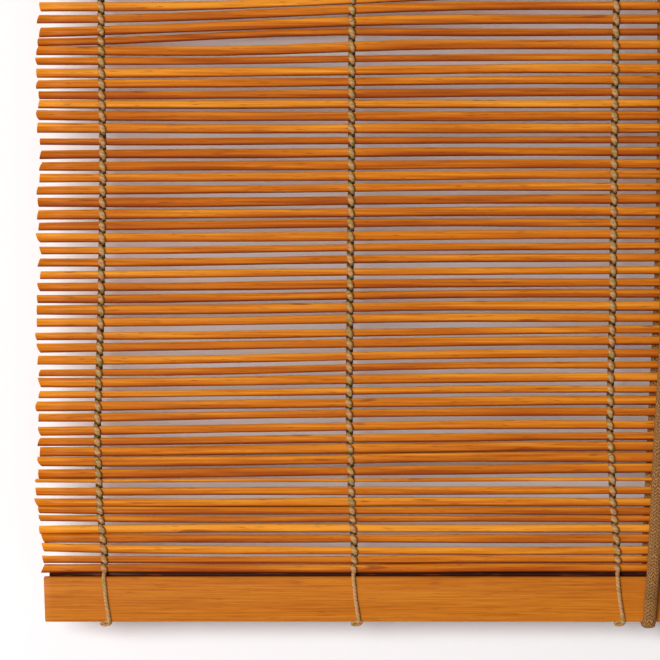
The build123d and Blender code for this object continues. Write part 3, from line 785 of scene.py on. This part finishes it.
# Over the pulleys: up to the wheel, a quarter turn, a straight run to the guide roller and a
# quarter turn down. The wide side turns from along the slats to along the pulleys' pins.
def makeCordsOverPulleys():
    s = cordSizes
    linkZ = -s["linkLength"]
    exitZ = boxOf("pull_cord_right")[1][2]
    rollerX, doubleX = rollerPlace[0], doublePlace[0]
    links = []
    for name, cord, wheelX, endY in (("left", leftCord, wheelPlace[0], outerY),
                                     ("right", rightCord, doubleX, doublePlace[1])):
        r = wheelX - cord
        rise = np.linspace(np.pi, np.pi / 2, 12)
        x = np.concatenate([wheelX + r * np.cos(rise), np.linspace(wheelX, rollerX, 60)[1:-1],
                            rollerX - r * np.cos(rise[::-1]), np.full(4, rollerX + r)])
        z = np.concatenate([r * np.sin(rise), np.full(58, r), r * np.sin(rise[::-1]), np.linspace(0, exitZ, 5)[1:]])
        y = np.interp(x, [wheelPlace[0], doubleX], [wheelY, endY])
        wide = np.tile([0.0, 1.0, 0.0], (len(x), 1))
        piece = ribbon(f"liftCordOver{name.title()}", [np.stack([x, y, z], -1)], [wide], [s["grooveHalfWidth"]],
                       [s["grooveHalfThick"]])
        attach(piece, "head")
        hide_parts(f"lift_cord_over_{name}")
        links.append(np.stack([np.full(16, cord), np.full(16, wheelY), np.linspace(linkZ, 0, 16)], -1))
    share = np.linspace(0, 1, 16)
    turn = ease(share) * np.pi / 2
    wide = np.stack([np.cos(turn), np.sin(turn), 0 * turn], -1)
    halfWidth = s["halfWidth"] + (s["grooveHalfWidth"] - s["halfWidth"]) * ease(share)
    halfThick = s["halfThick"] + (s["grooveHalfThick"] - s["halfThick"]) * ease(share)
    link = ribbon("liftCordLinks", links, [wide] * 2, [halfWidth] * 2, [halfThick] * 2)
    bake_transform(link)


# The pull cords hang from the lock to the knot in the tassel, 0.3 m. Each route is a smooth spline
# with these control points, in metres, and the cord follows points read from it.
pullCords = {
    "diameter": 0.003,
    "length": 0.3,
    "Left": [(0.459, -0.0392, -0.00955), (0.459, -0.0392, -0.2495), (0.459, -0.03675, -0.3095)],
    "Right": [(0.459, -0.0312, -0.00955), (0.459, -0.0312, -0.2495), (0.459, -0.03365, -0.3095)],
}


def makePullCords():
    p = pullCords
    for side in ("Left", "Right"):
        route = p[side]
        curve = bpy.data.curves.new(f"pullRoute{side}", "CURVE")
        curve.dimensions = "3D"
        spline = curve.splines.new("NURBS")
        spline.points.add(len(route) - 1)
        spline.points.foreach_set("co", np.array([(*place, 1.0) for place in route]).ravel())
        spline.order_u, spline.use_endpoint_u, spline.resolution_u = 3, True, 24
        routeObject = bpy.data.objects.new(f"pullRoute{side}", curve)
        bpy.context.scene.collection.objects.link(routeObject)
        line = bpy.data.meshes.new_from_object(routeObject)
        path = np.zeros(len(line.vertices) * 3, np.float32)
        line.vertices.foreach_get("co", path)
        path = path.reshape(-1, 3).astype(float)
        bpy.data.objects.remove(routeObject)
        half = p["diameter"] / 2
        rings = ringsAlong(path, np.tile([0.0, 1.0, 0.0], (len(path), 1)), half, half, cordSizes["sides"])
        piece = tubeRows(f"pullCord{side}", rings[None], pathLength(path)[None])
        piece.data.materials.append(braid)
        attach(piece, "head")
        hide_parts(f"pull_cord_{side.lower()}")


makeLiftCords()
makeCordsOverPulleys()
makePullCords()
print("cords made")


# The lift cords' back ends are knotted under the head rail.
def makeCordKnots():
    low, high = boxOf("lift_cord_knots")
    radius = (high[2] - low[2]) / 2
    middleY, middleZ = (low[1] + high[1]) / 2, (low[2] + high[2]) / 2
    paths = [knotPath((x, middleY, middleZ), (radius, radius * 0.8, radius * 0.9)) for x in
             (low[0] + radius, high[0] - radius)]
    piece = plainTube("liftCordKnots", paths, (0.3, 0.2, 1), 1.1, 1.0, 10)
    piece.data.materials.append(braid)
    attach(piece, "head")
    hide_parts("lift_cord_knots")


makeCordKnots()


def stainedWood(name, colours, grain):
    # Turned or planed softwood under stain and lacquer: bands of grain a few millimetres wide
    # along the wood, fine pores, satin.
    material, tree = newMaterial(name)
    place = addNode(tree, "ShaderNodeTexCoord").outputs["Object"]
    scale = tuple(1 / (size * mm) for size in grain)
    mapped = addNode(tree, "ShaderNodeMapping", {"Vector": place, "Scale": scale})
    bands = addNode(tree, "ShaderNodeTexNoise", {"Vector": mapped, "Scale": 1.0, "Detail": 4.0, "Distortion": 0.6})
    fine = addNode(tree, "ShaderNodeTexNoise", {"Vector": mapped, "Scale": 6.0, "Detail": 2.0})
    mixed = addNode(tree, "ShaderNodeMath", {0: fine, 1: 0.3, 2: bands}, operation="MULTIPLY_ADD")
    ramp = addNode(tree, "ShaderNodeValToRGB", {"Fac": mixed},
                   stops=[(0.45, colours[0]), (0.62, colours[1]), (0.8, colours[2])])
    bump = addNode(tree, "ShaderNodeBump", {"Height": mixed, "Strength": 0.3, "Distance": 0.0001})
    closeMaterial(tree, {"Base Color": ramp, "Roughness": 0.42, "IOR": 1.48, "Specular IOR Level": 0.2,
                         "Normal": bump})
    return material


def metal(name, colour, roughLow, roughHigh):
    # Plated sheet or wire: faint mottling from the bath over a fine grain, and a soft shine.
    material, tree = newMaterial(name)
    place = addNode(tree, "ShaderNodeTexCoord").outputs["Object"]
    mottle = addNode(tree, "ShaderNodeTexNoise", {"Vector": place, "Scale": 1 / 0.003, "Detail": 3.0})
    fine = addNode(tree, "ShaderNodeTexNoise", {"Vector": place, "Scale": 1 / 0.0005, "Detail": 2.0})
    rough = addNode(tree, "ShaderNodeMapRange", {"Value": mottle, "From Min": 0.3, "From Max": 0.7,
                                                 "To Min": roughLow, "To Max": roughHigh})
    dull = addNode(tree, "ShaderNodeMapRange", {"Value": mottle, "To Min": 0.0, "To Max": 0.3})
    tint = addNode(tree, "ShaderNodeMix", {"Factor": dull, 6: srgb(colour), 7: srgb("#6E6A62")}, data_type="RGBA")
    bump = addNode(tree, "ShaderNodeBump", {"Height": fine, "Strength": 0.15, "Distance": 0.00005})
    closeMaterial(tree, {"Base Color": tint.outputs[2], "Metallic": 1.0, "Roughness": rough, "Normal": bump})
    return material


def nylon(name, colour):
    # Moulded nylon: slightly waxy, with a fine moulded grain.
    material, tree = newMaterial(name)
    place = addNode(tree, "ShaderNodeTexCoord").outputs["Object"]
    grain = addNode(tree, "ShaderNodeTexNoise", {"Vector": place, "Scale": 1 / 0.0004, "Detail": 2.0})
    rough = addNode(tree, "ShaderNodeMapRange", {"Value": grain, "To Min": 0.4, "To Max": 0.6})
    bump = addNode(tree, "ShaderNodeBump", {"Height": grain, "Strength": 0.15, "Distance": 0.00005})
    closeMaterial(tree, {"Base Color": srgb(colour), "Roughness": rough, "IOR": 1.53,
                         "Subsurface Weight": 0.05, "Normal": bump})
    return material


def finishCadPieces():
    headWood = stainedWood("stainedPineRail", ("#8E4E1A", "#B06A28", "#C98438"), (140, 3, 3))
    tasselWood = stainedWood("turnedBeechTassel", ("#8A4A18", "#A8621F", "#C07A30"), (2.5, 2.5, 30))
    zinc = metal("zincPlatedSteel", "#B2AFA4", 0.42, 0.58)
    steel = metal("platedPinSteel", "#ACACAE", 0.32, 0.46)
    brass = metal("castBrass", "#C9A55A", 0.25, 0.4)
    wheelNylon = nylon("mouldedNylon", "#D9CFB6")
    finishes = {
        headWood: ["head_rail"],
        battenMaterial: ["top_batten"],
        tasselWood: ["tassel"],
        zinc: ["pulley_bracket_left", "pulley_bracket_right", "lock_housing"],
        steel: ["pulley_pin_left", "pulley_pin_right", "lock_pins", "bracket_screws", "anchor_eyes"],
        brass: ["lock_cam"],
        wheelNylon: ["pulley_wheel_left", "pulley_wheel_right", "pulley_wheel_outer", "lock_guide_roller"],
        braid: ["pull_knot"],
    }
    for material, nodes in finishes.items():
        for node in nodes:
            mesh = frame["nodes"][node].data
            mesh.materials.clear()
            mesh.materials.append(material)


finishCadPieces()
print("finishes set")

# A white wall stands close behind and curves into a pale floor; sizes in millimetres.
studioSizes = {"wallY": 1.5, "floorZ": -2600.0, "curve": 400.0, "wallTop": 3200.0, "halfWide": 6000.0,
               "floorOut": -7000.0}


# The sweep's profile is the upright wall, a quarter circle and the flat floor, carried along x.
def makeStudio():
    s = studioSizes
    arc = np.linspace(0, np.pi / 2, 24)
    y = np.concatenate([[s["wallY"]], s["wallY"] - s["curve"] * (1 - np.cos(arc)), [s["floorOut"]]])
    z = np.concatenate([[s["wallTop"]], s["floorZ"] + s["curve"] * (1 - np.sin(arc)), [s["floorZ"]]])
    x = np.array([-s["halfWide"], s["halfWide"]])
    points = np.stack([np.repeat(x, len(y)), np.tile(y, 2), np.tile(z, 2)], -1) * mm
    k = np.arange(len(y) - 1)
    quads = np.stack([k, k + 1, k + 1 + len(y), k + len(y)], -1)
    mesh = bpy.data.meshes.new("studioSweep")
    mesh.from_pydata(points.tolist(), [], quads.tolist())
    mesh.polygons.foreach_set("use_smooth", np.ones(len(quads), bool))
    sweep = bpy.data.objects.new("studioSweep", mesh)
    bpy.context.scene.collection.objects.link(sweep)
    material, tree = newMaterial("whiteStudioPaper")  # matt white, seen from its front only
    paper = addNode(tree, "ShaderNodeBsdfDiffuse", {"Color": srgb("#FBFCFF")})
    clear = addNode(tree, "ShaderNodeBsdfTransparent")
    back = addNode(tree, "ShaderNodeNewGeometry").outputs["Backfacing"]
    mixed = addNode(tree, "ShaderNodeMixShader", {0: back, 1: paper, 2: clear})
    addNode(tree, "ShaderNodeOutputMaterial", {"Surface": mixed})
    mesh.materials.append(material)


lightsAim = (-0.33, 0, -1.0)
studioLights = {  # where, width and height in metres, watts, colour
    "keySoftbox": ((-1.51, -1.94, -0.81), (1.7, 0.75), 51.8, "#FFFEFC"),
    "topSoftbox": ((0.2, -1.1, 1.6), (1.6, 1.0), 9.0, "#FFFDFA"),
    "backFill": ((0.6, 2.6, 0.4), (2.0, 2.0), 10.0, "#FFFFFF"),
}


def makeLights():
    for name, (place, size, watts, colour) in studioLights.items():
        data = bpy.data.lights.new(name, "AREA")
        data.shape, data.energy = "RECTANGLE", watts
        data.size, data.size_y = size
        data.color = srgb(colour)[:3]
        light = bpy.data.objects.new(name, data)
        away = np.array(place) - lightsAim
        light.location = place
        light.rotation_euler = (np.arctan2(np.hypot(away[0], away[1]), away[2]), 0, np.arctan2(away[0], -away[1]))
        bpy.context.scene.collection.objects.link(light)
    world = bpy.data.worlds.new("paleRoom")
    world.use_nodes = True
    world.node_tree.nodes.clear()
    glow = addNode(world.node_tree, "ShaderNodeBackground", {"Color": srgb("#FFF6F4"), "Strength": 0.08})
    addNode(world.node_tree, "ShaderNodeOutputWorld", {"Surface": glow})
    bpy.context.scene.world = world
    bpy.context.scene.view_settings.view_transform = "Standard"


makeStudio()
makeLights()
print("studio and lights made")
